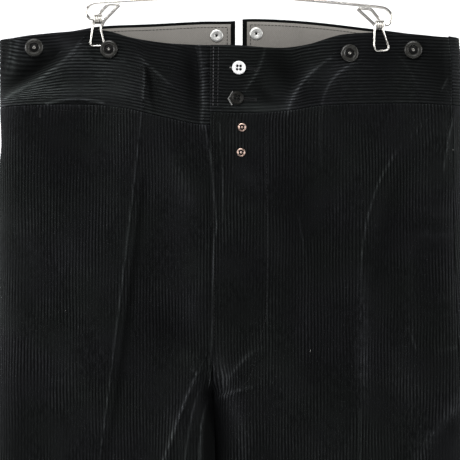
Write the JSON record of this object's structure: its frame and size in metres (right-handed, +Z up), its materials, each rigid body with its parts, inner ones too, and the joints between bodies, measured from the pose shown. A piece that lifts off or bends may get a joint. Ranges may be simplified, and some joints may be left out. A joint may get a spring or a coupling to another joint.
{
  "type": "corduroy trousers on a wire clip hanger",
  "caption": "High-waisted black corduroy work trousers with a deep button waistband and brace buttons, clipped flat by the waist to a steel wire hanger.",
  "frame": {"origin": "inside top of the hanger's hook, where a rail bears", "axes": "+Z up, +X towards the wearer's left, and the front of the garment faces -Y"},
  "size_m": [0.482, 0.0772, 1.2177],
  "materials": {
    "corduroy": "black wide-wale cotton corduroy, soft pile",
    "lining": "grey cotton twill",
    "black_metal": "glossy black lacquer",
    "pale_metal": "satin",
    "white_button": "glossy white",
    "dark_button": "glossy black",
    "rivet": "pinkish plated, slightly worn",
    "steel": "bright drawn wire"
  },
  "bodies": {
    "root": {"front_right": "corduroy", "front_left": "corduroy", "back_right": "corduroy", "back_left": "corduroy", "band_front_right": "corduroy", "band_front_left": "corduroy", "band_back_right": "corduroy", "band_back_left": "corduroy", "fly_underlap": "corduroy", "lining_right": "lining", "lining_left": "lining", "brace_button_front_1": "black_metal", "brace_button_front_2": "black_metal", "brace_button_front_3": "black_metal", "brace_button_front_4": "black_metal", "brace_button_back_1": "black_metal", "brace_button_back_2": "black_metal", "brace_rivet_front_1": "pale_metal", "brace_rivet_front_2": "pale_metal", "brace_rivet_front_3": "pale_metal", "brace_rivet_front_4": "pale_metal", "brace_rivet_back_1": "pale_metal", "brace_rivet_back_2": "pale_metal", "waist_button_upper": "white_button", "waist_button_lower": "dark_button", "fly_rivet_upper": "rivet", "fly_rivet_lower": "rivet", "hanger_frame": "steel", "clip_right_front": "steel", "clip_right_back": "steel", "clip_right_spring": "steel", "clip_left_front": "steel", "clip_left_back": "steel", "clip_left_spring": "steel"}
  },
  "joints": []
}
